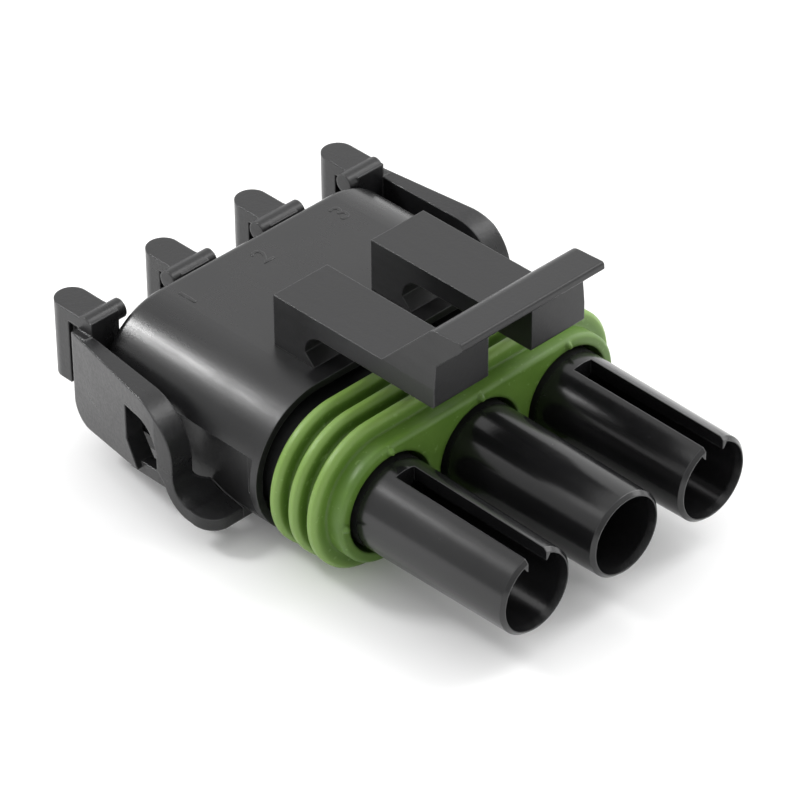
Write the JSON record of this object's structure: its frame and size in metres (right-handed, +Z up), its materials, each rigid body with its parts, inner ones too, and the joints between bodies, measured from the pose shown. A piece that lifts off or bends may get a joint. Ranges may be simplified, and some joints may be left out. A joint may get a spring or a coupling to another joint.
{
  "type": "sealed automotive connector",
  "caption": "Black in-line wire connector half with hollow round towers in a row, a ribbed green seal round their base, a lift-up latch and a hinged comb lock behind.",
  "frame": {"origin": "on the surface the connector rests on, under the middle of its length and width", "axes": "+X along the row of towers, -Y the way the towers point, +Z up towards the latch"},
  "size_m": [0.0308, 0.0396, 0.0191],
  "materials": {
    "housing": "satin moulded nylon",
    "seal": "soft satin silicone",
    "latch": "satin moulded nylon",
    "lock": "satin moulded nylon"
  },
  "bodies": {
    "body": {"housing": "housing", "perimeter_seal": "seal"},
    "latch": {"latch": "latch"},
    "lock": {"secondary_lock": "lock"}
  },
  "joints": [
    {"name": "latch_lift", "type": "hinge", "parent": "body", "child": "latch", "pos_m": [0, 0.00498, 0.011], "axis": [-1, 0, 0], "range_deg": [0, 5], "stiffness_Nm_per_rad": 0.2},
    {"name": "lock_swing", "type": "hinge", "parent": "body", "child": "lock", "pos_m": [0, 0.00258, 0.0022], "axis": [-1, 0, 0], "range_deg": [0, 110]}
  ]
}
